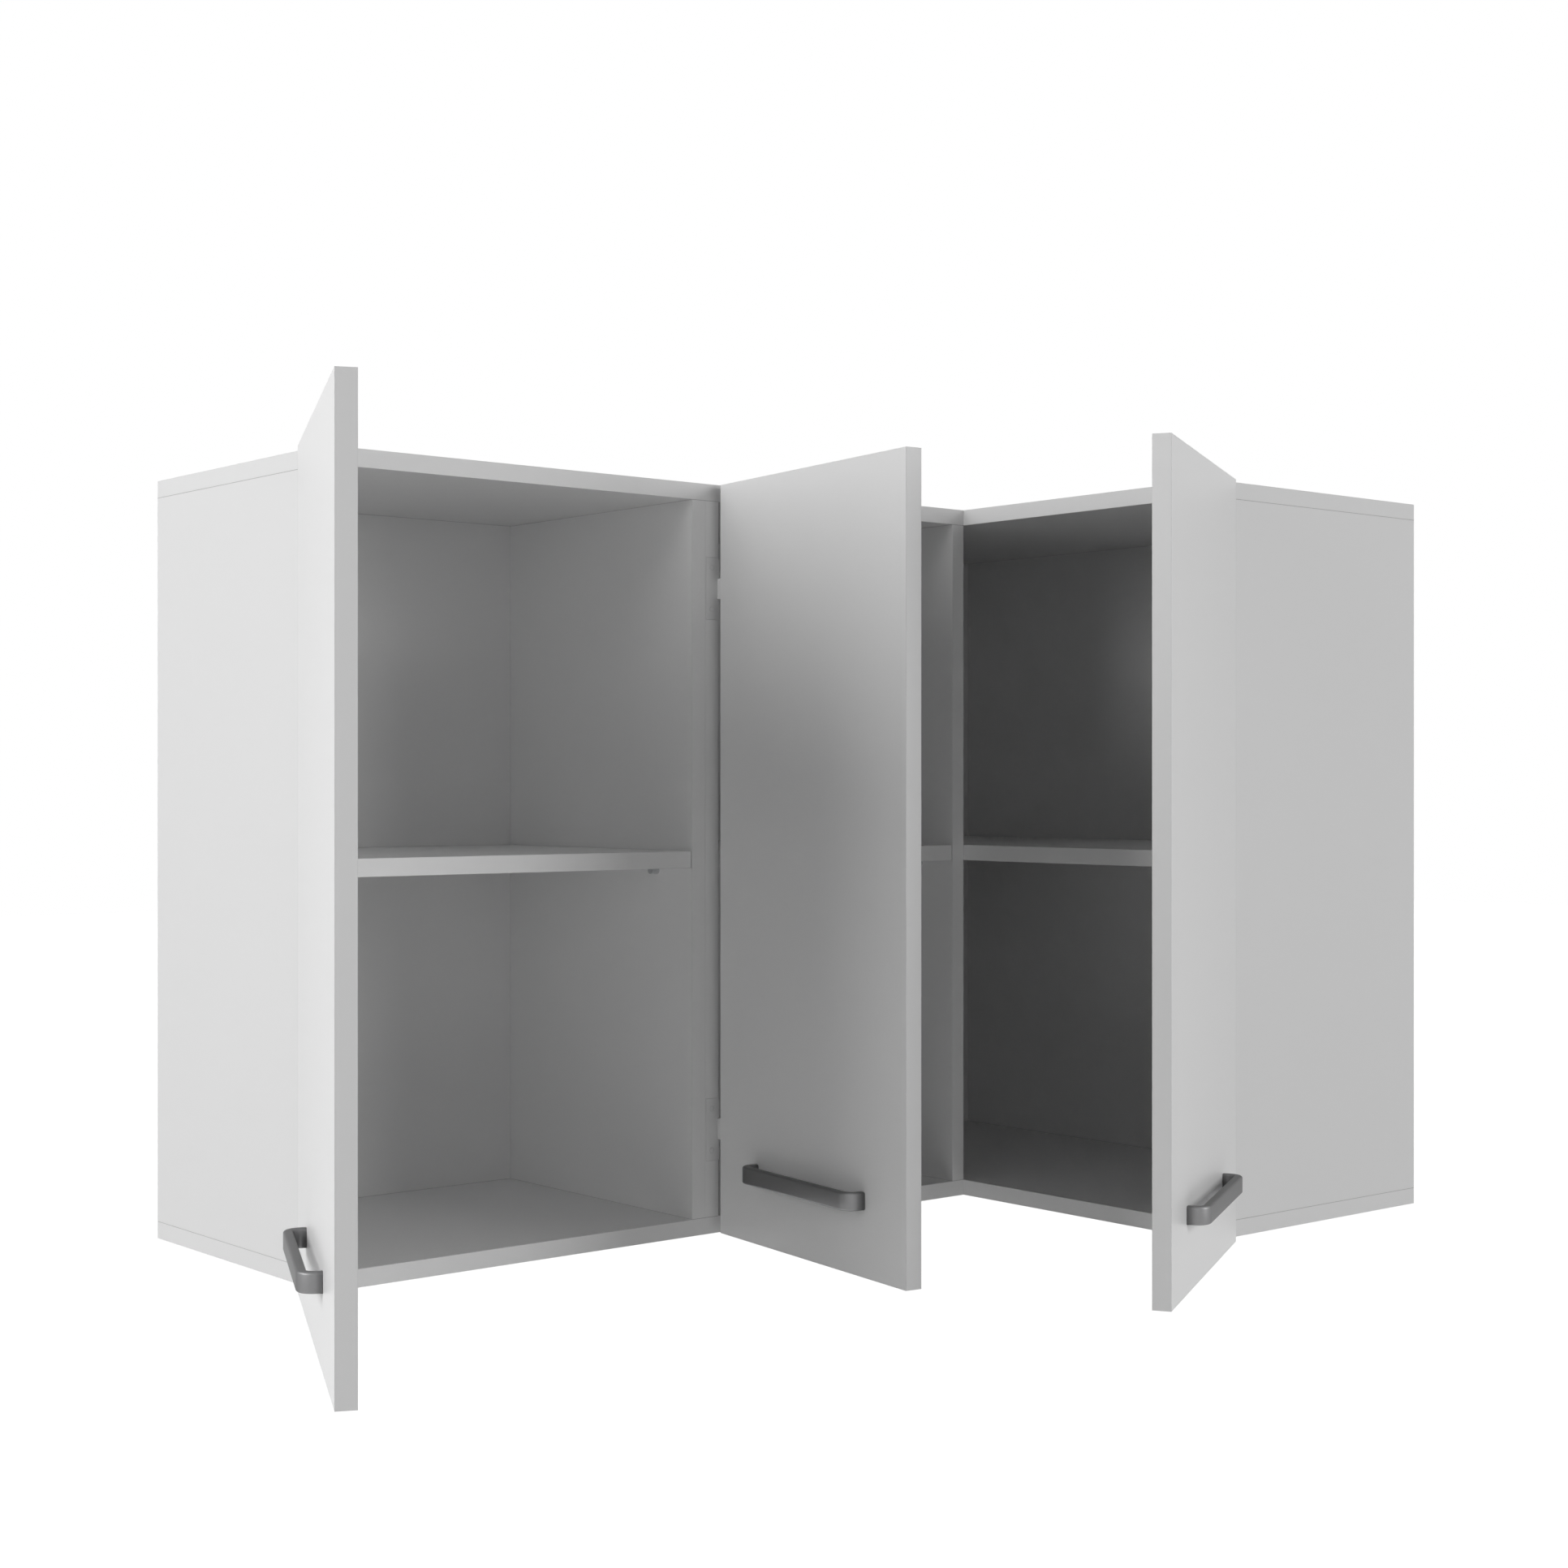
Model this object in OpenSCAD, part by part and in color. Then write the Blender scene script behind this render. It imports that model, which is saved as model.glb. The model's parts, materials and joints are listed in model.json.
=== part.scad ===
// L-shaped corner wall cabinet with three doors, drawn with the doors standing open.
// The origin is the room corner at the underside: +X and +Y point into the two walls.
// The left wing runs along -X with its back at y = 0, the right wing along -Y with its back at x = 0.

/* [Carcass] */
// Height over the top and bottom panels
body_h = 720; // [600:10:900]
// Depth of both wings, from the wall to the front edges of the boards
depth = 320; // [290:5:380]
// Length of the left wing along its wall, from the room corner
left_wing = 1076; // [1000:1:1250]
// Length of the right wing along its wall, from the room corner
right_wing = 655; // [600:1:800]
// Thickness of the carcass boards
board_t = 16; // [16:1:19]
// Distance from the outer left end to the seam between the divider's two boards
divider_at = 410.75; // [380:0.25:440]
// Thickness of the back panels
back_t = 3; // [2.5:0.5:5]
// Space left free behind the back panels for the hangers
back_recess = 5; // [4.5:0.5:10]
// Depth of the grooves that hold the back panels
groove_d = 6; // [4:0.5:8]

/* [Shelves] */
// Height of the shelves' middle above the underside
shelf_at = 360; // [300:10:400]
// Thickness of the shelves
shelf_t = 16; // [16:1:19]
// How far the shelves' front edges lie behind the front plane
shelf_setback = 0.5; // [0.5:0.5:10]
// Gap between a shelf and the boards at its ends and back
shelf_gap = 1; // [0.5:0.25:2]
// Diameter of the bores for the shelf pins
pin_bore = 5; // [4:0.5:6]
// Depth of the bores for the shelf pins
pin_bore_d = 8; // [6:1:10]
// Diameter of the part of a pin that carries the shelf
pin_head = 7; // [6:0.5:8]
// Length of the part of a pin that carries the shelf
pin_reach = 9; // [7:1:12]
// Distance of the shelf pins from the front and the back of the wing
pin_inset = 55; // [40:5:80]

/* [Doors] */
// Thickness of the doors
door_t = 16; // [16:1:19]
// Gap between the closed doors and the front edges of the carcass
door_gap = 2; // [1.5:0.25:3]
// How far the doors stay inside the carcass at its outer ends, top and bottom
reveal = 1; // [0.5:0.25:2]
// Width of the divider's front that stays bare between the left and the middle door, so that
// the left door swings clear of the handle on the open middle door
split_gap = 22; // [22:0.5:26]
// Gap between the middle door's free edge and the right door's face
corner_clear = 5.5; // [4:0.5:10]
// Distance from the inner corner to the right door's free edge
right_inset = 13.5; // [8:0.5:20]
// Angle at which the left door stands open
left_open = 115; // [0:1:120]
// Angle at which the middle door stands open
middle_open = 98; // [0:1:105]
// Angle at which the right door stands open
right_open = 120; // [0:1:125]

/* [Hinges] */
// Height of a hinge
hinge_h = 60; // [50:2:80]
// Distance of a hinge's middle from the underside or the top of the cabinet
hinge_at = 100; // [70:5:150]
// Outer diameter of the hinge knuckles
knuckle_d = 5.2; // [5:0.1:5.6]
// Diameter of the hinge pins
hinge_pin_d = 2.5; // [2:0.1:2.8]
// Thickness of the hinge leaves
leaf_t = 1.2; // [1:0.1:1.4]
// Width of the leaf on a door's inner face
door_leaf_w = 26; // [22:1:32]
// Depth of the end doors' hinge axis behind the front plane
axis_back = 3; // [2.8:0.1:4]
// Distance of the middle door's hinge axis from its hinge edge
axis_edge = 5; // [4.5:0.1:5.2]
// Distance of the middle door's hinge axis from its outer face
axis_face = 4.5; // [4.2:0.1:4.8]

/* [Handles] */
// Length of a handle over its ends
handle_len = 186; // [120:1:200]
// Width of the handle's bar, measured upright on the door
handle_w = 16; // [12:1:20]
// Thickness of the handle's bar and legs
handle_t = 8; // [7:0.5:10]
// How far a handle stands out from the door
handle_out = 19; // [18:1:40]
// Outer radius of the handle's bends
handle_bend = 10; // [9:0.5:16]
// Radius along the long edges of the handle
handle_edge = 1.6; // [0.5:0.1:3]
// Height of the handle's middle above the cabinet's underside
handle_at = 68; // [50:1:110]

/* [Fixings] */
// Diameter of the handle screws
handle_screw = 4; // [3:0.5:5]
// Length of the handle screws' thread inside the handle's legs
handle_thread = 9; // [6:1:14]
// Diameter of the screws that hold the hinge leaves
leaf_screw = 3; // [2.5:0.25:3.5]
// Length of the screws that hold the hinge leaves
leaf_screw_len = 13; // [10:0.5:14]
// Thread diameter of the long screws that join the carcass
frame_screw = 5; // [4:0.5:6]
// Length of the long screws that join the carcass
frame_screw_len = 50; // [40:5:60]
// Distance of the carcass screws from the front and the back of the wing
frame_screw_inset = 45; // [35:5:70]
// Diameter of the dowels that join the two wings' top and bottom panels
dowel_d = 8; // [6:1:10]
// Length of those dowels
dowel_len = 30; // [24:2:40]
// Distance of the outer dowels from the front and the back of the wing
dowel_inset = 64; // [50:2:90]
// Diameter of the door bumpers
bumper_d = 8; // [6:1:10]

/* [Hangers] */
// Width of a hanger plate
hanger_w = 50; // [40:5:70]
// Height of a hanger plate
hanger_h = 46; // [44:2:60]
// Thickness of a hanger plate
hanger_t = 1.5; // [1:0.25:2]
// Diameter of the hole that passes over a wall screw's head
key_hole = 10; // [9:0.5:12]
// Width of the slot that rests on the wall screw
key_slot = 5; // [4:0.5:6]
// Distance of the outer hangers' middle from the ends of each wing
hanger_inset = 110; // [80:10:150]

/* [Hidden] */
$fn = 48;
fit = 0.15;
knuckle_gap = 0.3;
pin_clear = 0.1;
room_at_end = 0.5;
notch_room = 0.6;
notch_wall_room = 0.4;
pin_stagger = 6;
leaf_recess = 0.4;
leaf_margin = 1.5;
leaf_side = 1;
leaf_screw_share = 0.65;
head_ratio = 1.8;
door_h = body_h - 2 * reveal;
back_front = back_recess + back_t;
divider_x = -left_wing + divider_at;
partition_x = -depth - board_t / 2;
left_door_w = divider_x - split_gap / 2 + left_wing - reveal;
middle_edge = divider_x + split_gap / 2;
middle_door_w = -depth - door_gap - door_t - corner_clear - middle_edge;
right_door_w = right_wing - depth - right_inset - reveal;
shelf_z = shelf_at - shelf_t / 2;
pin_z = shelf_z - fit - pin_head / 2;
hinge_heights = [hinge_at, body_h - hinge_at];
end_door_y = -axis_back - door_gap - door_t;
knuckle_bore = hinge_pin_d + 2 * pin_clear;
knuckle_h = (hinge_h - 2 * knuckle_gap) / 3;
pin_cap_d = knuckle_d;
pin_cap_h = 1.5;
web_t = 1.2;
web_inset = 0.2;
web_x = knuckle_d / 2 - web_t - web_inset;
end_notch = knuckle_d / 2 + notch_room;
arm_t = 2;
side_leaf_w = board_t - end_notch - leaf_margin;
leaf_head = leaf_screw * head_ratio;
neck_step = 2;
head_step = 2.5;
frame_neck = frame_screw + neck_step;
frame_neck_len = board_t - neck_step;
frame_head = frame_neck + head_step;
frame_head_h = 2;
handle_centres = handle_len - handle_t;
handle_screw_head = 2 * handle_screw;
handle_head_h = 2.2;
bumper_free = 0.4;
bumper_h = door_gap - bumper_free;
bumper_from_edge = 30;
hanger_hole_inset = 10;
hanger_holes = hanger_w - 2 * hanger_hole_inset;
plate_drop = 1;
key_below_board = 15;
key_drop = board_t + key_below_board;
key_slot_len = 9;

// A box between two corners
module block(low, high) {
    translate(low) cube(high - low);
}

// Countersunk screw along -Z with its head's face at z = 0, widened by room for its hole
module flat_screw(d, head, len, room = 0) {
    translate([0, 0, -len]) cylinder(h = len, d = d + 2 * room);
    translate([0, 0, -(head - d) / 2]) cylinder(h = (head - d) / 2, d1 = d + 2 * room, d2 = head + 2 * room);
    if (room > 0) cylinder(h = 3 * room, d = head + 2 * room);
}

// Placing of the three doors' hinge axes at the closed doors. Local +X runs along the
// closed door to its free edge, local -Y points out of the cabinet.
module left_axis() {
    translate([-left_wing, -depth + axis_back, 0]) children();
}
module middle_axis() {
    translate([middle_edge + axis_edge, -depth - door_gap - door_t + axis_face, 0]) children();
}
module right_axis() {
    translate([-depth + axis_back, -right_wing, 0]) mirror([1, -1, 0]) children();
}

// The same places with the doors turned to where they stand open
module left_pose() {
    left_axis() rotate([0, 0, -left_open]) children();
}
module middle_pose() {
    middle_axis() rotate([0, 0, -middle_open]) children();
}
module right_pose() {
    right_axis() rotate([0, 0, -right_open]) children();
}

// Grooves in which the two back panels stand
module back_grooves() {
    low = board_t - groove_d;
    block([-left_wing + low, -back_front - fit, low],
        [-back_recess + fit, -back_recess + fit, body_h - low]);
    block([-back_front - fit, -right_wing + low, low],
        [-back_recess + fit, -back_recess + fit, body_h - low]);
}

// Where the long screws pass through the top and bottom panels into the upright boards
frame_spots = [
    for (x = [-left_wing + board_t / 2, divider_x - board_t / 2, divider_x + board_t / 2, partition_x])
        for (y = [-depth + frame_screw_inset, -frame_screw_inset]) [x, y],
    for (x = [-depth + frame_screw_inset, -frame_screw_inset]) [x, -right_wing + board_t / 2]
];
module long_screw(room = 0) {
    translate([0, 0, -frame_screw_len - room]) cylinder(h = frame_screw_len, d = frame_screw + 2 * room);
    translate([0, 0, -frame_neck_len]) cylinder(h = frame_neck_len, d = frame_neck + 2 * room);
    translate([0, 0, -frame_head_h]) cylinder(h = frame_head_h + room, d = frame_head + 2 * room);
}
module frame_screw_set(room = 0) {
    for (p = frame_spots) {
        translate([p[0], p[1], body_h]) long_screw(room);
        translate([p[0], p[1], 0]) mirror([0, 0, 1]) long_screw(room);
    }
}

// Dowels across the seam between the wings
module dowel_set(room = 0) {
    for (x = [-depth + dowel_inset, -depth / 2, -dowel_inset])
        for (z = [board_t / 2, body_h - board_t / 2])
            translate([x, -depth - dowel_len / 2, z]) rotate([-90, 0, 0])
                cylinder(h = dowel_len, d = dowel_d + 2 * room);
}

// One shelf pin along +X, or its bore where room is given: a shaft in the board and a thicker
// part under the shelf
module shelf_pin(room = 0) {
    if (room > 0) {
        translate([-pin_bore_d, 0, 0]) rotate([0, 90, 0]) cylinder(h = pin_bore_d + room, d = pin_bore);
    } else {
        translate([room_at_end - pin_bore_d, 0, 0]) rotate([0, 90, 0])
            cylinder(h = pin_bore_d - room_at_end, d = pin_bore - 2 * fit);
        rotate([0, 90, 0]) cylinder(h = pin_reach, d = pin_head);
    }
}
module shelf_pin_set(room = 0) {
    for (y = [-depth + pin_inset, -pin_inset]) {
        translate([-left_wing + board_t, y, pin_z]) shelf_pin(room);
        translate([divider_x - board_t, y, pin_z]) mirror([1, 0, 0]) shelf_pin(room);
        translate([divider_x + board_t, y - pin_stagger, pin_z]) shelf_pin(room);
        translate([partition_x - board_t / 2, y - pin_stagger, pin_z]) mirror([1, 0, 0]) shelf_pin(room);
        translate([partition_x + board_t / 2, y, pin_z]) shelf_pin(room);
    }
    for (x = [-depth + pin_inset, -pin_inset])
        translate([x, -right_wing + board_t, pin_z]) rotate([0, 0, 90]) shelf_pin(room);
}

// Hanger plates: each is screwed to the rear edge of a top panel and hangs on a wall screw
hanger_left_x = [-left_wing + hanger_inset, -left_wing / 2, -hanger_inset];
module hanger_spots() {
    for (x = hanger_left_x) translate([x, 0, body_h]) children();
    translate([0, -right_wing + hanger_inset, body_h]) rotate([0, 0, -90]) children();
}
module hanger_seat_cut() {
    block([-hanger_w / 2 - fit, -hanger_t - fit, -board_t - 1], [hanger_w / 2 + fit, 1, fit - plate_drop]);
}
module hanger_plate() {
    difference() {
        rotate([90, 0, 0]) linear_extrude(hanger_t) difference() {
            translate([-hanger_w / 2, -plate_drop - hanger_h]) square([hanger_w, hanger_h]);
            translate([0, -key_drop]) circle(d = key_hole);
            translate([-key_slot / 2, -key_drop]) square([key_slot, key_slot_len]);
            translate([0, -key_drop + key_slot_len]) circle(d = key_slot);
        }
        hanger_screw_pair(fit);
    }
}
module hanger_screw_pair(room = 0) {
    for (x = [-hanger_holes / 2, hanger_holes / 2])
        translate([x, 0, -board_t / 2]) rotate([-90, 0, 0])
            flat_screw(leaf_screw, leaf_head, leaf_screw_len, room);
}

// Hinge of an end door, at its axis. The knuckles lie in a notch at the end panel's corner.
module end_leaf_screws(room = 0) {
    for (dz = [-hinge_h / 3, hinge_h / 3])
        translate([end_notch + side_leaf_w / 2, -axis_back + leaf_recess, dz]) rotate([90, 0, 0])
            flat_screw(leaf_screw, leaf_head, leaf_screw_len, room);
}
module end_frame_leaf() {
    difference() {
        union() {
            block([end_notch, -axis_back + leaf_recess, -hinge_h / 2],
                [end_notch + side_leaf_w, -axis_back + leaf_recess + leaf_t, hinge_h / 2]);
            block([0, -axis_back + leaf_recess, -knuckle_h / 2],
                [end_notch, -axis_back + leaf_recess + leaf_t, knuckle_h / 2]);
            translate([0, 0, -knuckle_h / 2]) cylinder(h = knuckle_h, d = knuckle_d);
        }
        translate([0, 0, -hinge_h]) cylinder(h = 2 * hinge_h, d = knuckle_bore);
        end_leaf_screws(fit);
    }
}
module end_panel_notch() {
    top = hinge_h / 2 + pin_cap_h + notch_room;
    block([-1, -axis_back - 1, -top], [end_notch - fit, end_notch, top]);
    block([0, -axis_back - 1, -hinge_h / 2 - fit],
        [end_notch + side_leaf_w + fit, -axis_back + leaf_recess + leaf_t + fit, hinge_h / 2 + fit]);
    end_leaf_screws(fit);
}
module end_door_leaf() {
    back = -axis_back - door_gap;
    difference() {
        union() {
            block([web_x, back - leaf_t, -hinge_h / 2], [door_leaf_w, back, hinge_h / 2]);
            for (s = [-1, 1]) translate([0, 0, s * (knuckle_h + knuckle_gap)]) {
                translate([0, 0, -knuckle_h / 2]) cylinder(h = knuckle_h, d = knuckle_d);
                block([web_x, back, -knuckle_h / 2], [web_x + web_t, 0, knuckle_h / 2]);
            }
        }
        translate([0, 0, -hinge_h]) cylinder(h = 2 * hinge_h, d = knuckle_bore);
        end_door_leaf_screws(fit);
    }
}
module end_door_leaf_screws(room = 0) {
    for (dz = [-hinge_h / 4, hinge_h / 4])
        translate([door_leaf_w * leaf_screw_share, -axis_back - door_gap, dz]) rotate([-90, 0, 0])
            flat_screw(leaf_screw, leaf_head, leaf_screw_len - 1, room);
}
module end_door_seat() {
    back = -axis_back - door_gap;
    block([0, back - leaf_t - fit, -hinge_h / 2 - fit], [door_leaf_w + fit, back + 1, hinge_h / 2 + fit]);
    end_door_leaf_screws(fit);
}

// Hinge of the middle door, at its axis. The knuckles lie in a notch at the door's rear corner
// and an arm reaches back to the divider's front edge.
middle_back = door_t - axis_face;
middle_front = middle_back + door_gap;
arm_seat = divider_x + board_t / 2 - middle_edge - axis_edge;
seat_half = board_t / 2 - leaf_side;
module middle_frame_leaf_screws(room = 0) {
    for (dz = [-hinge_h / 3, hinge_h / 3])
        translate([arm_seat, middle_front, dz]) rotate([90, 0, 0])
            flat_screw(leaf_screw, leaf_head, leaf_screw_len, room);
}
module middle_frame_leaf() {
    difference() {
        union() {
            block([arm_seat - seat_half, middle_front, -hinge_h / 2],
                [arm_t / 2, middle_front + leaf_t, hinge_h / 2]);
            block([-arm_t / 2, 0, -knuckle_h / 2], [arm_t / 2, middle_front + leaf_t, knuckle_h / 2]);
            translate([0, 0, -knuckle_h / 2]) cylinder(h = knuckle_h, d = knuckle_d);
        }
        translate([0, 0, -hinge_h]) cylinder(h = 2 * hinge_h, d = knuckle_bore);
        middle_frame_leaf_screws(fit);
    }
}
module divider_seat() {
    block([arm_seat - seat_half - fit, middle_front - 1, -hinge_h / 2 - fit],
        [arm_t / 2, middle_front + leaf_t + fit, hinge_h / 2 + fit]);
    middle_frame_leaf_screws(fit);
}
module middle_door_leaf() {
    wall = knuckle_d / 2 + notch_room - leaf_t;
    difference() {
        union() {
            for (s = [-1, 1]) translate([0, 0, s * (knuckle_h + knuckle_gap)]) {
                translate([0, 0, -knuckle_h / 2]) cylinder(h = knuckle_h, d = knuckle_d);
                block([0, 0, -knuckle_h / 2], [wall + leaf_t, leaf_t, knuckle_h / 2]);
            }
            block([wall, 0, -hinge_h / 2], [wall + leaf_t, middle_back, hinge_h / 2]);
            block([wall, middle_back - leaf_t, -hinge_h / 2], [door_leaf_w, middle_back, hinge_h / 2]);
        }
        translate([0, 0, -hinge_h]) cylinder(h = 2 * hinge_h, d = knuckle_bore);
        translate([0, 0, -knuckle_h / 2 - knuckle_gap])
            cylinder(h = knuckle_h + 2 * knuckle_gap, d = knuckle_d + 2 * knuckle_gap);
        middle_door_leaf_screws(fit);
    }
}
module middle_door_leaf_screws(room = 0) {
    for (dz = [-hinge_h / 4, hinge_h / 4])
        translate([door_leaf_w * leaf_screw_share, middle_back, dz]) rotate([-90, 0, 0])
            flat_screw(leaf_screw, leaf_head, leaf_screw_len - 1, room);
}
module middle_door_notch() {
    right = knuckle_d / 2 + notch_room + fit;
    top = hinge_h / 2 + pin_cap_h + notch_room;
    block([-axis_edge - 1, -knuckle_d / 2 - notch_wall_room, -top], [right, middle_back + 1, top]);
    block([0, middle_back - leaf_t - fit, -hinge_h / 2 - fit],
        [door_leaf_w + fit, middle_back + 1, hinge_h / 2 + fit]);
    middle_door_leaf_screws(fit);
}

// Pin with a cap at each end, at its hinge's middle
module hinge_pin() {
    length = hinge_h + 2 * knuckle_gap;
    translate([0, 0, -length / 2]) cylinder(h = length, d = hinge_pin_d);
    for (s = [-1, 1]) translate([0, 0, s * (length + pin_cap_h) / 2])
        cylinder(h = pin_cap_h, d = pin_cap_d, center = true);
}
module at_hinges() {
    for (z = hinge_heights) translate([0, 0, z]) children();
}

// Bow handle on a door's face, standing out along -Y: rounded flat bar with two bends
module handle_section() {
    r = handle_edge;
    square([handle_t - 2 * r, handle_w], center = true);
    square([handle_t, handle_w - 2 * r], center = true);
    for (sx = [-1, 1]) for (sy = [-1, 1])
        translate([sx * (handle_t / 2 - r), sy * (handle_w / 2 - r)]) circle(r = r);
}
module handle_leg() {
    rotate([90, 0, 0]) linear_extrude(handle_out - handle_bend) handle_section();
}
module handle() {
    mid_r = handle_bend - handle_t / 2;
    half = handle_len / 2;
    difference() {
        union() {
            for (s = [0, 1]) mirror([s, 0, 0]) {
                translate([half - handle_t / 2, 0, 0]) handle_leg();
                translate([half - handle_bend, -handle_out + handle_bend, 0])
                    rotate([0, 0, -90]) rotate_extrude(angle = 90) translate([mid_r, 0]) handle_section();
            }
            translate([-half + handle_bend, -handle_out + handle_t / 2, 0]) rotate([90, 0, 90])
                linear_extrude(handle_len - 2 * handle_bend) handle_section();
        }
        for (s = [-1, 1]) translate([s * handle_centres / 2, 1, 0]) rotate([90, 0, 0])
            cylinder(h = handle_thread + 2, d = handle_screw + 2 * fit);
    }
}

// Screws of one handle, from the door's inner face into the legs
module handle_screw_pair(room = 0) {
    for (s = [-1, 1]) translate([s * handle_centres / 2, 0, 0]) rotate([90, 0, 0]) {
        if (room > 0) {
            translate([0, 0, -door_t - 1]) cylinder(h = door_t + 2, d = handle_screw + 2 * room);
        } else {
            translate([0, 0, -door_t]) cylinder(h = door_t + handle_thread, d = handle_screw);
            translate([0, 0, -door_t - handle_head_h]) cylinder(h = handle_head_h, d = handle_screw_head);
        }
    }
}

// The three doors' boards and the places on them, in their hinges' local frames
module end_door_face(w) {
    translate([reveal + w / 2, end_door_y, handle_at]) children();
}
module middle_door_face() {
    translate([-axis_edge + middle_door_w / 2, -axis_face, handle_at]) children();
}
module end_door(w) {
    difference() {
        block([reveal, end_door_y, reveal], [reveal + w, end_door_y + door_t, reveal + door_h]);
        at_hinges() end_door_seat();
        end_door_face(w) handle_screw_pair(fit);
    }
}
module middle_door() {
    difference() {
        block([-axis_edge, -axis_face, reveal], [-axis_edge + middle_door_w, middle_back, reveal + door_h]);
        at_hinges() middle_door_notch();
        middle_door_face() handle_screw_pair(fit);
    }
}
module bumper_pair(x, y) {
    for (z = [board_t / 2, body_h - board_t / 2])
        translate([x, y, z]) rotate([-90, 0, 0]) cylinder(h = bumper_h, d = bumper_d);
}

// Top and bottom: a long board over the left wing and a short one over the right wing
module bottom_left_board() {
    block([-left_wing, -depth, 0], [0, 0, board_t]);
}
module bottom_right_board() {
    block([-depth, -right_wing, 0], [0, -depth, board_t]);
}
module top_panel_left() {
    color("white") difference() {
        translate([0, 0, body_h - board_t]) bottom_left_board();
        back_grooves();
        frame_screw_set(fit);
        dowel_set(fit);
        hanger_spots() hanger_seat_cut();
        hanger_spots() hanger_screw_pair(fit);
    }
}
module top_panel_right() {
    color("white") difference() {
        translate([0, 0, body_h - board_t]) bottom_right_board();
        back_grooves();
        frame_screw_set(fit);
        dowel_set(fit);
        hanger_spots() hanger_seat_cut();
        hanger_spots() hanger_screw_pair(fit);
    }
}
module bottom_panel_left() {
    color("white") difference() {
        bottom_left_board();
        back_grooves();
        frame_screw_set(fit);
        dowel_set(fit);
    }
}
module bottom_panel_right() {
    color("white") difference() {
        bottom_right_board();
        back_grooves();
        frame_screw_set(fit);
        dowel_set(fit);
    }
}

// Upright boards
module left_end_panel() {
    color("white") difference() {
        block([-left_wing, -depth, board_t], [-left_wing + board_t, 0, body_h - board_t]);
        back_grooves();
        frame_screw_set(fit);
        shelf_pin_set(fit);
        left_axis() at_hinges() end_panel_notch();
    }
}
module divider_left_board() {
    color("white") difference() {
        block([divider_x - board_t, -depth, board_t], [divider_x, -back_front - fit, body_h - board_t]);
        frame_screw_set(fit);
        shelf_pin_set(fit);
    }
}
module divider() {
    color("white") difference() {
        block([divider_x, -depth, board_t], [divider_x + board_t, -back_front - fit, body_h - board_t]);
        frame_screw_set(fit);
        shelf_pin_set(fit);
        middle_axis() at_hinges() divider_seat();
    }
}
module corner_partition() {
    color("white") difference() {
        block([-depth - board_t, -depth, board_t], [-depth, -back_front - fit, body_h - board_t]);
        frame_screw_set(fit);
        shelf_pin_set(fit);
    }
}
module right_end_panel() {
    color("white") difference() {
        block([-depth, -right_wing, board_t], [0, -right_wing + board_t, body_h - board_t]);
        back_grooves();
        frame_screw_set(fit);
        shelf_pin_set(fit);
        right_axis() at_hinges() end_panel_notch();
    }
}

// Back panels, loose by the fit in their grooves
module back_panel_left() {
    low = board_t - groove_d + fit;
    color("whitesmoke")
        block([-left_wing + low, -back_front, low], [-back_recess, -back_recess, body_h - low]);
}
module back_panel_right() {
    low = board_t - groove_d + fit;
    color("whitesmoke")
        block([-back_front, -right_wing + low, low], [-back_recess, -back_front - fit, body_h - low]);
}

// Shelves
module shelf_left() {
    color("white") block([-left_wing + board_t + shelf_gap, -depth + shelf_setback, shelf_z],
        [divider_x - board_t - shelf_gap, -back_front - shelf_gap, shelf_z + shelf_t]);
}
module shelf_middle() {
    color("white") block([divider_x + board_t + shelf_gap, -depth + shelf_setback, shelf_z],
        [-depth - board_t - shelf_gap, -back_front - shelf_gap, shelf_z + shelf_t]);
}
module shelf_right() {
    color("white") block([-depth + shelf_setback, -right_wing + board_t + shelf_gap, shelf_z],
        [-back_front - shelf_gap, -back_front - shelf_gap, shelf_z + shelf_t]);
}
module shelf_pins() {
    color("silver") shelf_pin_set();
}
module frame_screws() {
    color("silver") frame_screw_set();
}
module seam_dowels() {
    color("burlywood") dowel_set();
}
module hanger_plates() {
    color("silver") hanger_spots() hanger_plate();
}
module hanger_screws() {
    color("silver") hanger_spots() hanger_screw_pair();
}

// Doors with their handles, screws and bumpers
module door_left() {
    color("white") left_pose() end_door(left_door_w);
}
module door_middle() {
    color("white") middle_pose() middle_door();
}
module door_right() {
    color("white") right_pose() end_door(right_door_w);
}
module handle_left() {
    color("dimgray") left_pose() end_door_face(left_door_w) handle();
}
module handle_middle() {
    color("dimgray") middle_pose() middle_door_face() handle();
}
module handle_right() {
    color("dimgray") right_pose() end_door_face(right_door_w) handle();
}
module handle_screws_left() {
    color("silver") left_pose() end_door_face(left_door_w) handle_screw_pair();
}
module handle_screws_middle() {
    color("silver") middle_pose() middle_door_face() handle_screw_pair();
}
module handle_screws_right() {
    color("silver") right_pose() end_door_face(right_door_w) handle_screw_pair();
}
module bumpers_left() {
    color("lightgray") left_pose()
        bumper_pair(reveal + left_door_w - bumper_from_edge, -axis_back - door_gap);
}
module bumpers_middle() {
    color("lightgray") middle_pose()
        bumper_pair(-axis_edge + middle_door_w - bumper_from_edge, middle_back);
}
module bumpers_right() {
    color("lightgray") right_pose()
        bumper_pair(reveal + right_door_w - bumper_from_edge, -axis_back - door_gap);
}

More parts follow.
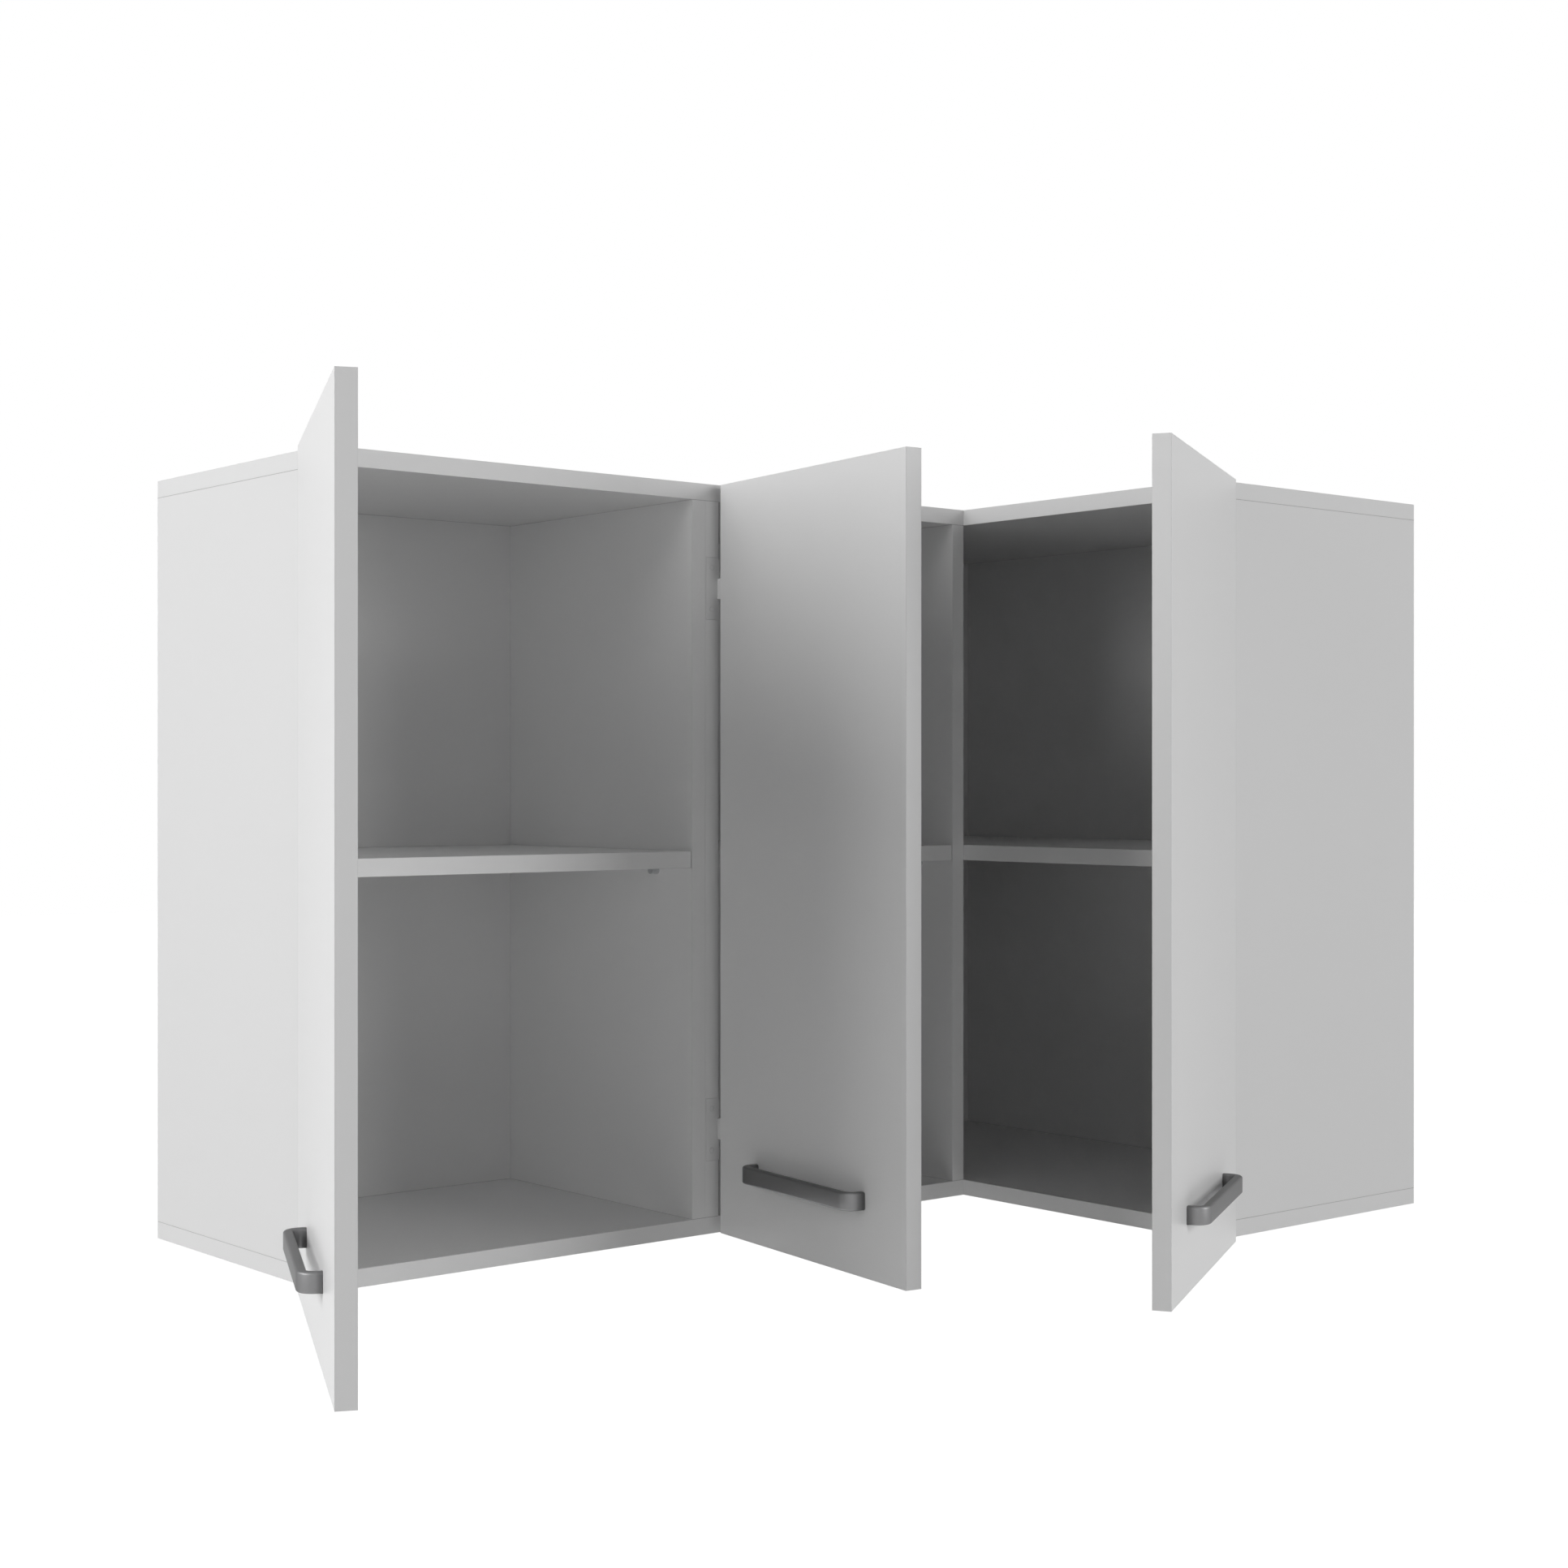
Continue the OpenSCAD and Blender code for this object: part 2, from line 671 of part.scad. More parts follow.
// Hinges
module frame_leaves_left() {
    color("gainsboro") left_axis() at_hinges() end_frame_leaf();
}
module frame_leaves_middle() {
    color("gainsboro") middle_axis() at_hinges() middle_frame_leaf();
}
module frame_leaves_right() {
    color("gainsboro") right_axis() at_hinges() end_frame_leaf();
}
module door_leaves_left() {
    color("gainsboro") left_pose() at_hinges() end_door_leaf();
}
module door_leaves_middle() {
    color("gainsboro") middle_pose() at_hinges() middle_door_leaf();
}
module door_leaves_right() {
    color("gainsboro") right_pose() at_hinges() end_door_leaf();
}
module hinge_pins_left() {
    color("silver") left_axis() at_hinges() hinge_pin();
}
module hinge_pins_middle() {
    color("silver") middle_axis() at_hinges() hinge_pin();
}
module hinge_pins_right() {
    color("silver") right_axis() at_hinges() hinge_pin();
}
module frame_leaf_screws() {
    color("silver") {
        left_axis() at_hinges() end_leaf_screws();
        middle_axis() at_hinges() middle_frame_leaf_screws();
        right_axis() at_hinges() end_leaf_screws();
    }
}
module leaf_screws_left() {
    color("silver") left_pose() at_hinges() end_door_leaf_screws();
}
module leaf_screws_middle() {
    color("silver") middle_pose() at_hinges() middle_door_leaf_screws();
}
module leaf_screws_right() {
    color("silver") right_pose() at_hinges() end_door_leaf_screws();
}

top_panel_left();
top_panel_right();
bottom_panel_left();
bottom_panel_right();
left_end_panel();
divider_left_board();
divider();
corner_partition();
right_end_panel();
back_panel_left();
back_panel_right();
shelf_left();
shelf_middle();
shelf_right();
shelf_pins();
frame_screws();
seam_dowels();
hanger_plates();
hanger_screws();
door_left();
door_middle();
door_right();
handle_left();
handle_middle();
handle_right();
handle_screws_left();
handle_screws_middle();
handle_screws_right();
frame_leaves_left();
frame_leaves_middle();
frame_leaves_right();
door_leaves_left();
door_leaves_middle();
door_leaves_right();
hinge_pins_left();
hinge_pins_middle();
hinge_pins_right();
frame_leaf_screws();
leaf_screws_left();
leaf_screws_middle();
leaf_screws_right();
bumpers_left();
bumpers_middle();
bumpers_right();
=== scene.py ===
import json
import math

import bmesh
import bpy
from mathutils import Matrix, Vector


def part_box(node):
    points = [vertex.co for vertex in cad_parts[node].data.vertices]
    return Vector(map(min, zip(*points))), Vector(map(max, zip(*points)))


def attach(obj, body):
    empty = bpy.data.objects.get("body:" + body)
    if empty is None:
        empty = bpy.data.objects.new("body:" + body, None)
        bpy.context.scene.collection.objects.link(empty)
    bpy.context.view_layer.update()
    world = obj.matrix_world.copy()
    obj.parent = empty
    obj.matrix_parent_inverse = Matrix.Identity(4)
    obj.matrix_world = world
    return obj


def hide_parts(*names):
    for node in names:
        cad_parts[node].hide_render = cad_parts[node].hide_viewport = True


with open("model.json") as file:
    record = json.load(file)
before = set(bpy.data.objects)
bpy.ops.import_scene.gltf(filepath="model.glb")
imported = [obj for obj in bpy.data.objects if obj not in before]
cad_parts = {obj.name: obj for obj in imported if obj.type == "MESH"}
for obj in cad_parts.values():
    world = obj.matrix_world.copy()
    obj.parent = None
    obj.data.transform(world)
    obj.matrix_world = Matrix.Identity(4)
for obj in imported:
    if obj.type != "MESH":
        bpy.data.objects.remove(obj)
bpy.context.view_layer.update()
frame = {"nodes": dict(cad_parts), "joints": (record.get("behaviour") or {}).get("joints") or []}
nodes = frame["nodes"]

# Carcass boards
# The upright boards and the top and bottom panels are 16 mm chipboard faced with white melamine paper.
# Their sawn edges are covered with glued edge strips, and dark hairlines show where two boards meet.
BOARD_WHITE = (0.88, 0.88, 0.88)
BOARD_ROUGH = 0.42
BOARD_SHINE = 0.4
ROUGH_SPREAD = 0.04
PRESS_SCALE = 950.0
PRESS_DEPTH = 0.00002
PRESS_STRENGTH = 0.12
CLOUD_SCALE = 5.0
CLOUD_AMOUNT = 0.05
CLOUD_TONE = 0.93
STRIP_WIDTH = 0.0012
STRIP_SHARE = 0.35
STRIP_TONE = 0.90
SEAM_REACH = 0.00025
SEAM_TONE = 0.60
EDGE_RADIUS = 0.0007
EDGE_SAMPLES = 6


def feed(tree, value, socket):
    """Gives a socket its value: a linked one, a colour, or a number."""
    if isinstance(value, bpy.types.NodeSocket):
        tree.links.new(value, socket)
    elif isinstance(value, tuple):
        socket.default_value = (*value, 1.0)
    else:
        socket.default_value = value


def math_node(tree, operation, *values):
    """Result of one operation on linked values or numbers, kept between zero and one."""
    node = tree.nodes.new("ShaderNodeMath")
    node.operation = operation
    node.use_clamp = True
    for value, socket in zip(values, node.inputs):
        feed(tree, value, socket)
    return node.outputs["Value"]


def noise(tree, scale, detail):
    """Cloudy pattern that stays with the piece."""
    place = tree.nodes.new("ShaderNodeTexCoord")
    pattern = tree.nodes.new("ShaderNodeTexNoise")
    feed(tree, place.outputs["Object"], pattern.inputs["Vector"])
    feed(tree, scale, pattern.inputs["Scale"])
    feed(tree, detail, pattern.inputs["Detail"])
    return pattern.outputs["Fac"]


def rounded_normal(tree, radius):
    """Normal of the surface as if its corners were rounded to a radius."""
    bevel = tree.nodes.new("ShaderNodeBevel")
    bevel.samples = EDGE_SAMPLES
    feed(tree, radius, bevel.inputs["Radius"])
    return bevel.outputs["Normal"]


def new_group(name, inputs, outputs):
    """Node group with named number sockets; also returns those it reads from and those it fills."""
    group = bpy.data.node_groups.new(name, "ShaderNodeTree")
    for label in inputs:
        group.interface.new_socket(label, in_out="INPUT", socket_type="NodeSocketFloat")
    for label in outputs:
        group.interface.new_socket(label, in_out="OUTPUT", socket_type="NodeSocketFloat")
    return group, group.nodes.new("NodeGroupInput").outputs, group.nodes.new("NodeGroupOutput").inputs


# Press texture: the fine pearl that the press plate leaves in melamine, with a slow change of roughness.
PEARL_DETAIL = 3.0
DRIFT_SCALE = 9.0
DRIFT_DETAIL = 4.0
press, press_in, press_out = new_group(
    "press_texture", ["Scale", "Roughness", "Spread"], ["Height", "Roughness"]
)
feed(press, noise(press, press_in["Scale"], PEARL_DETAIL), press_out["Height"])
drift = press.nodes.new("ShaderNodeMapRange")
smoothest = math_node(press, "SUBTRACT", press_in["Roughness"], press_in["Spread"])
roughest = math_node(press, "ADD", press_in["Roughness"], press_in["Spread"])
feed(press, noise(press, DRIFT_SCALE, DRIFT_DETAIL), drift.inputs["Value"])
feed(press, smoothest, drift.inputs["To Min"])
feed(press, roughest, drift.inputs["To Max"])
feed(press, drift.outputs["Result"], press_out["Roughness"])

# Edge mask: bright where two faces of a piece meet, for the rubbed line along corners and strips.
EDGE_GAIN = 4.0
edges, edges_in, edges_out = new_group("edge_mask", ["Width", "Strength"], ["Mask"])
edge_face = edges.nodes.new("ShaderNodeNewGeometry")
lean = edges.nodes.new("ShaderNodeVectorMath")
lean.operation = "DOT_PRODUCT"
feed(edges, rounded_normal(edges, edges_in["Width"]), lean.inputs[0])
feed(edges, edge_face.outputs["Normal"], lean.inputs[1])
turned = math_node(edges, "SUBTRACT", 1.0, lean.outputs["Value"])
sharper = math_node(edges, "MULTIPLY", turned, EDGE_GAIN)
feed(edges, math_node(edges, "MULTIPLY", sharper, edges_in["Strength"]), edges_out["Mask"])

# Handling marks: faint cloudy darkening, as on any painted or faced surface that is wiped and touched.
BLOTCH_DETAIL = 6.0
marks, marks_in, marks_out = new_group("handling_marks", ["Scale", "Amount"], ["Factor"])
blotch = noise(marks, marks_in["Scale"], BLOTCH_DETAIL)
feed(marks, math_node(marks, "MULTIPLY", blotch, marks_in["Amount"]), marks_out["Factor"])

# Seam line: one within Reach of a level where two boards meet, on upright faces only.
UPRIGHT_TILT = 0.5
seam, seam_in, seam_out = new_group("seam_line", ["Level", "Reach"], ["Mask"])
seam_place = seam.nodes.new("ShaderNodeTexCoord")
seam_height = seam.nodes.new("ShaderNodeSeparateXYZ")
feed(seam, seam_place.outputs["Object"], seam_height.inputs["Vector"])
near = math_node(seam, "COMPARE", seam_height.outputs["Z"], seam_in["Level"], seam_in["Reach"])
seam_face = seam.nodes.new("ShaderNodeNewGeometry")
seam_normal = seam.nodes.new("ShaderNodeSeparateXYZ")
feed(seam, seam_face.outputs["Normal"], seam_normal.inputs["Vector"])
tilt = math_node(seam, "ABSOLUTE", seam_normal.outputs["Z"])
upright = math_node(seam, "LESS_THAN", tilt, UPRIGHT_TILT)
feed(seam, math_node(seam, "MULTIPLY", near, upright), seam_out["Mask"])


def add_group(tree, group, **values):
    """Outputs of a node group placed in a material with its own values."""
    node = tree.nodes.new("ShaderNodeGroup")
    node.node_tree = group
    for label, value in values.items():
        node.inputs[label].default_value = value
    return node.outputs


def mix_colour(tree, factor, first, second):
    """Colour between two others, by a linked factor."""
    node = tree.nodes.new("ShaderNodeMix")
    node.data_type = "RGBA"
    feed(tree, factor, node.inputs["Factor"])
    feed(tree, first, node.inputs["A"])
    feed(tree, second, node.inputs["B"])
    return node.outputs["Result"]


def tone(colour, share):
    """A colour made darker or lighter by a share."""
    return tuple(min(1.0, part * share) for part in colour)


def new_material(name):
    """A material, its node tree and its shader."""
    material = bpy.data.materials.new(name)
    material.use_nodes = True
    tree = material.node_tree
    return material, tree, tree.nodes["Principled BSDF"]


def texture_surface(tree, shader, scale, rough, spread, strength, depth, normal=None):
    """Fine bumps of a depth, and a roughness that drifts by the spread, on a shader's surface."""
    texture = add_group(tree, press, Scale=scale, Roughness=rough, Spread=spread)
    feed(tree, texture["Roughness"], shader.inputs["Roughness"])
    bump = tree.nodes.new("ShaderNodeBump")
    bump.inputs["Strength"].default_value = strength
    bump.inputs["Distance"].default_value = depth
    feed(tree, texture["Height"], bump.inputs["Height"])
    if normal is not None:
        feed(tree, normal, bump.inputs["Normal"])
    feed(tree, bump.outputs["Normal"], shader.inputs["Normal"])


def faced_board(name, colour, rough, depth=PRESS_DEPTH, strip_tone=STRIP_TONE, seam_levels=()):
    """Faced or lacquered flat stock, with hairlines at its edges and at the levels where boards meet."""
    material, tree, shader = new_material(name)
    clouding = add_group(tree, marks, Scale=CLOUD_SCALE, Amount=CLOUD_AMOUNT)
    shown = mix_colour(tree, clouding["Factor"], colour, tone(colour, CLOUD_TONE))
    strip = add_group(tree, edges, Width=STRIP_WIDTH, Strength=STRIP_SHARE)
    shown = mix_colour(tree, strip["Mask"], shown, tone(colour, strip_tone))
    for level in seam_levels:
        line = add_group(tree, seam, Level=level, Reach=SEAM_REACH)
        shown = mix_colour(tree, line["Mask"], shown, tone(colour, SEAM_TONE))
    feed(tree, shown, shader.inputs["Base Color"])
    shader.inputs["Specular IOR Level"].default_value = BOARD_SHINE
    corners = rounded_normal(tree, EDGE_RADIUS)
    texture_surface(tree, shader, PRESS_SCALE, rough, ROUGH_SPREAD, PRESS_STRENGTH, depth, corners)
    return material


def dress(names, material):
    """Puts a material in every slot of the named pieces."""
    for name in names:
        for held in nodes[name].material_slots:
            held.material = material


bottom_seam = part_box("bottom_panel_left")[1].z
top_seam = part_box("top_panel_left")[0].z
carcass_seams = (bottom_seam, top_seam)
carcass_white = faced_board("melamine_white", BOARD_WHITE, BOARD_ROUGH, seam_levels=carcass_seams)
dress(["top_panel_left", "top_panel_right", "bottom_panel_left", "bottom_panel_right"], carcass_white)
dress(["left_end_panel", "divider_left_board", "divider"], carcass_white)
dress(["corner_partition", "right_end_panel"], carcass_white)

# Back panels
# Two sheets of 3 mm hardboard, lacquered white.
# They stand in grooves of the carcass boards and stiffen it.
BACK_WHITE = (0.86, 0.86, 0.86)
BACK_ROUGH = 0.36
BACK_DEPTH = 0.00003
BACK_EDGE_TONE = 0.92
back_white = faced_board(
    "lacquered_hardboard", BACK_WHITE, BACK_ROUGH, BACK_DEPTH, BACK_EDGE_TONE, carcass_seams
)
dress(["back_panel_left", "back_panel_right"], back_white)

# Shelves
# One loose shelf a bay, of the same faced chipboard as the carcass, with a strip along its front edge.
# Each rests on four pins and can be lifted out.
SHELF_ROUGH = 0.40
shelf_white = faced_board("melamine_shelf", BOARD_WHITE, SHELF_ROUGH)
dress(["shelf_left", "shelf_middle", "shelf_right"], shelf_white)

# Fixings of steel
# Shelf pins, hinge pins, hanger plates and the screws of carcass, hangers and handles are steel, turned
# or pressed and zinc-plated. The plates hang the cabinet on the wall.
ZINC = (0.56, 0.57, 0.58)
ZINC_RUBBED = (0.75, 0.75, 0.76)
ZINC_BRIGHT = 1.15
ZINC_DARK = 0.8
SPANGLE_SCALE = 220.0
SPANGLE_AMOUNT = 0.5
ZINC_RUB_WIDTH = 0.0004
ZINC_RUB_SHARE = 0.6
ZINC_GRAIN = 2600.0
ZINC_ROUGH = 0.34
ZINC_SPREAD = 0.08
ZINC_STRENGTH = 0.15
ZINC_DEPTH = 0.00002


def plated_steel(name, colour):
    """Zinc plate: bright and dark spangles, and edges that are rubbed brighter."""
    material, tree, shader = new_material(name)
    shader.inputs["Metallic"].default_value = 1.0
    spangle = add_group(tree, marks, Scale=SPANGLE_SCALE, Amount=SPANGLE_AMOUNT)
    shown = mix_colour(tree, spangle["Factor"], tone(colour, ZINC_BRIGHT), tone(colour, ZINC_DARK))
    rub = add_group(tree, edges, Width=ZINC_RUB_WIDTH, Strength=ZINC_RUB_SHARE)
    shown = mix_colour(tree, rub["Mask"], shown, ZINC_RUBBED)
    feed(tree, shown, shader.inputs["Base Color"])
    texture_surface(tree, shader, ZINC_GRAIN, ZINC_ROUGH, ZINC_SPREAD, ZINC_STRENGTH, ZINC_DEPTH)
    return material


doors = ["left", "middle", "right"]


def each_door(piece):
    """The names of a piece that every door has."""
    return [piece + "_" + door for door in doors]


zinc = plated_steel("zinc_plate", ZINC)
dress(["shelf_pins", "frame_screws", "hanger_plates", "hanger_screws"], zinc)
dress(each_door("hinge_pins"), zinc)
dress(each_door("handle_screws"), zinc)

# Dowels
# Plain round dowels of beech, glued across the seam between the two wings' top panels and between
# their bottom panels. They are hidden inside the boards.
BEECH = (0.62, 0.44, 0.27)
BEECH_DARK = 0.8
BEECH_ROUGH = 0.7
RING_SCALE = 400.0
RING_WAVER = 3.0
beech, beech_tree, beech_shader = new_material("beech")
beech_place = beech_tree.nodes.new("ShaderNodeTexCoord")
rings = beech_tree.nodes.new("ShaderNodeTexWave")
rings.inputs["Scale"].default_value = RING_SCALE
rings.inputs["Distortion"].default_value = RING_WAVER
feed(beech_tree, beech_place.outputs["Object"], rings.inputs["Vector"])
beech_grain = mix_colour(beech_tree, rings.outputs["Fac"], BEECH, tone(BEECH, BEECH_DARK))
feed(beech_tree, beech_grain, beech_shader.inputs["Base Color"])
beech_shader.inputs["Roughness"].default_value = BEECH_ROUGH
dress(["seam_dowels"], beech)

# Hinges
# Two pin hinges a door: pressed steel leaves with rolled knuckles, lacquered white with their screws.
# One leaf is let into the front edge of its upright board, the other into the door.
HINGE_WHITE = (0.84, 0.84, 0.84)
HINGE_ROUGH = 0.30
HINGE_DEPTH = 0.00001
HINGE_EDGE_TONE = 0.80
hinge_white = faced_board("white_hinge_lacquer", HINGE_WHITE, HINGE_ROUGH, HINGE_DEPTH, HINGE_EDGE_TONE)
dress(each_door("frame_leaves"), hinge_white)
dress(each_door("door_leaves"), hinge_white)
dress(each_door("leaf_screws"), hinge_white)
dress(["frame_leaf_screws"], hinge_white)

# Doors
# Three 16 mm doors of white faced chipboard with strips on all four edges, smooth on both sides.
# Each is bored for its handle screws and recessed for its hinge leaves.
DOOR_ROUGH = 0.38
door_white = faced_board("melamine_door", BOARD_WHITE, DOOR_ROUGH)
dress(each_door("door"), door_white)

# Handles
# A bow handle a door: a flat bar of cast zinc with rounded long edges and a bend at each end,
# lacquered satin graphite, held by two screws from inside the door.
BAR_THICK = 0.008
BAR_EDGE = 0.0020
BEND_RADIUS = 0.014
BEND_STEPS = 14
CORNER_STEPS = 5
GRAPHITE = (0.235, 0.235, 0.238)
GRAPHITE_METAL = 0.65
GRAPHITE_DARK = 0.9
GRAPHITE_RUBBED = 1.8
GRAZING_TINT = (0.35, 0.35, 0.35)
SPECKLE_SCALE = 45.0
SPECKLE_AMOUNT = 0.25
BOW_RUB_WIDTH = 0.0009
BOW_RUB_SHARE = 0.25
SATIN_GRAIN = 3000.0
SATIN_ROUGH = 0.40
SATIN_SPREAD = 0.02
SATIN_STRENGTH = 0.1
SATIN_DEPTH = 0.00002


def satin_lacquer(name, colour):
    """Lacquer with metal flakes: faint speckle, edges rubbed lighter, little glare where seen aslant."""
    material, tree, shader = new_material(name)
    shader.inputs["Metallic"].default_value = GRAPHITE_METAL
    shader.inputs["Specular Tint"].default_value = (*GRAZING_TINT, 1.0)
    speckle = add_group(tree, marks, Scale=SPECKLE_SCALE, Amount=SPECKLE_AMOUNT)
    shown = mix_colour(tree, speckle["Factor"], colour, tone(colour, GRAPHITE_DARK))
    rub = add_group(tree, edges, Width=BOW_RUB_WIDTH, Strength=BOW_RUB_SHARE)
    shown = mix_colour(tree, rub["Mask"], shown, tone(colour, GRAPHITE_RUBBED))
    feed(tree, shown, shader.inputs["Base Color"])
    texture_surface(tree, shader, SATIN_GRAIN, SATIN_ROUGH, SATIN_SPREAD, SATIN_STRENGTH, SATIN_DEPTH)
    return material


def bow_path(length, out):
    """Half the bow's centre line, from foot through bend, each point with its side direction."""
    middle_radius = BEND_RADIUS - BAR_THICK / 2
    centre = Vector((length / 2 - BEND_RADIUS, BEND_RADIUS - out))
    foot = Vector((length / 2 - BAR_THICK / 2, 0.0))
    points = [(foot, Vector((1.0, 0.0)))]
    for i in range(BEND_STEPS + 1):
        angle = -math.pi / 2 * i / BEND_STEPS
        side = Vector((math.cos(angle), math.sin(angle)))
        points.append((centre + side * middle_radius, side))
    return points


def bar_section(width):
    """Rounded rectangle across the bar, as offsets across it and up."""
    corner_across = BAR_THICK / 2 - BAR_EDGE
    corner_up = width / 2 - BAR_EDGE
    outline = []
    for right, top, start in ((1, 1, 0), (-1, 1, 90), (-1, -1, 180), (1, -1, 270)):
        for i in range(CORNER_STEPS + 1):
            angle = math.radians(start + 90 * i / CORNER_STEPS)
            across = right * corner_across + BAR_EDGE * math.cos(angle)
            up = top * corner_up + BAR_EDGE * math.sin(angle)
            outline.append((across, up))
    return outline


def bow_mesh(name, size):
    """The bar swept along a bow of this length, stand-out and width, closed at both feet."""
    half = bow_path(size.x, size.y)
    stations = half + [(Vector((-p.x, p.y)), Vector((-s.x, s.y))) for p, s in reversed(half)]
    section = bar_section(size.z)
    mesh = bmesh.new()
    sweep = []
    for point, side in stations:
        sweep.append([
            mesh.verts.new((point.x + side.x * across, point.y + side.y * across, up))
            for across, up in section
        ])
    for ring, following in zip(sweep, sweep[1:]):
        for i in range(len(ring)):
            j = (i + 1) % len(ring)
            mesh.faces.new((ring[i], ring[j], following[j], following[i]))
    mesh.faces.new(list(reversed(sweep[0])))
    mesh.faces.new(sweep[-1])
    bmesh.ops.recalc_face_normals(mesh, faces=mesh.faces)
    for face in mesh.faces:
        face.smooth = len(face.verts) == 4
    data = bpy.data.meshes.new(name)
    mesh.to_mesh(data)
    mesh.free()
    return data


joints = {joint["name"]: joint for joint in frame["joints"]}


def door_turn(door):
    """Turn of a door's outer face as it stands in the photograph, from its hinge's travel."""
    open_turn = -math.radians(joints[door + "_door_hinge"]["range_deg"][0])
    angle = open_turn - math.pi / 2 if door == "right" else -open_turn
    return Matrix.Rotation(angle, 4, "Z")


def cad_handle(door, turn):
    """Lowest and highest corner of a CAD handle, with its door turned back square to the axes."""
    inverse = turn.inverted()
    points = [inverse @ v.co for v in nodes["handle_" + door].data.vertices]
    low = Vector([min(point[axis] for point in points) for axis in range(3)])
    high = Vector([max(point[axis] for point in points) for axis in range(3)])
    return low, high


graphite = satin_lacquer("graphite_lacquer", GRAPHITE)
for door in doors:
    turn = door_turn(door)
    low, high = cad_handle(door, turn)
    middle = (low + high) / 2
    between_feet = Vector((middle.x, high.y, middle.z))
    data = bow_mesh("bow_" + door, high - low)
    data.transform(turn @ Matrix.Translation(between_feet))
    data.materials.append(graphite)
    bow = bpy.data.objects.new("bow_handle_" + door, data)
    bpy.context.scene.collection.objects.link(bow)
    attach(bow, "door_" + door)
    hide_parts("handle_" + door)

# Bumpers
# Two small pads of clear rubber on each door's inner face, moulded and glued near the free edge.
# They soften its closing against the carcass.
RUBBER_PALE = (0.70, 0.70, 0.69)
RUBBER_DULL = (0.58, 0.58, 0.57)
RUBBER_ROUGH = 0.45
DUST_SCALE = 300.0
DUST_AMOUNT = 0.4
rubber, rubber_tree, rubber_shader = new_material("bumper_rubber")
dust = add_group(rubber_tree, marks, Scale=DUST_SCALE, Amount=DUST_AMOUNT)
rubber_tone = mix_colour(rubber_tree, dust["Factor"], RUBBER_PALE, RUBBER_DULL)
feed(rubber_tree, rubber_tone, rubber_shader.inputs["Base Color"])
rubber_shader.inputs["Roughness"].default_value = RUBBER_ROUGH
dress(each_door("bumpers"), rubber)

# Floor
# A plain pale floor at the usual height below a wall cabinet. Seen directly or in a reflection it is as
# white as the photograph's background, and it still takes the object's shadow.
FLOOR_BELOW = 1.4
FLOOR_SIZE = 60.0
FLOOR_PALE = (0.80, 0.80, 0.80)
FLOOR_ROUGH = 0.9
FLOOR_GLOW = 0.985


def white_rays(tree):
    """One for the rays that see the surroundings white: from the camera, off gloss or through glass."""
    path = tree.nodes.new("ShaderNodeLightPath")
    direct = math_node(tree, "ADD", path.outputs["Is Camera Ray"], path.outputs["Is Glossy Ray"])
    return math_node(tree, "ADD", direct, path.outputs["Is Transmission Ray"])


half_floor = FLOOR_SIZE / 2
floor_data = bpy.data.meshes.new("floor")
floor_signs = ((-1, -1), (1, -1), (1, 1), (-1, 1))
floor_corners = [(x * half_floor, y * half_floor, -FLOOR_BELOW) for x, y in floor_signs]
floor_data.from_pydata(floor_corners, [], [(0, 1, 2, 3)])
floor_white, floor_tree, floor_shader = new_material("pale_floor")
feed(floor_tree, FLOOR_PALE, floor_shader.inputs["Base Color"])
floor_shader.inputs["Roughness"].default_value = FLOOR_ROUGH
glow = floor_tree.nodes.new("ShaderNodeEmission")
glow_strength = math_node(floor_tree, "MULTIPLY", white_rays(floor_tree), FLOOR_GLOW)
feed(floor_tree, glow_strength, glow.inputs["Strength"])
lit = floor_tree.nodes.new("ShaderNodeAddShader")
feed(floor_tree, floor_shader.outputs["BSDF"], lit.inputs[0])
feed(floor_tree, glow.outputs["Emission"], lit.inputs[1])
feed(floor_tree, lit.outputs["Shader"], floor_tree.nodes["Material Output"].inputs["Surface"])
floor_data.materials.append(floor_white)
floor = bpy.data.objects.new("floor", floor_data)
bpy.context.scene.collection.objects.link(floor)

# Studio light
# Soft boxes: two on the left, one on the right, a faint one in front, and one behind for the wall side.
# The room sheds no light, so the bays stay in shade, but the camera and glossy surfaces see it white.
ROOM_WHITE = (1.0, 1.0, 1.0)
ROOM_LIGHT = 0.0
ROOM_SEEN = 1.0
world = bpy.data.worlds.new("studio")
bpy.context.scene.world = world
world.use_nodes = True
room = world.node_tree
room_light = room.nodes["Background"]
feed(room, ROOM_WHITE, room_light.inputs["Color"])
room_light.inputs["Strength"].default_value = ROOM_LIGHT
room_seen = room.nodes.new("ShaderNodeBackground")
feed(room, ROOM_WHITE, room_seen.inputs["Color"])
room_seen.inputs["Strength"].default_value = ROOM_SEEN
room_mix = room.nodes.new("ShaderNodeMixShader")
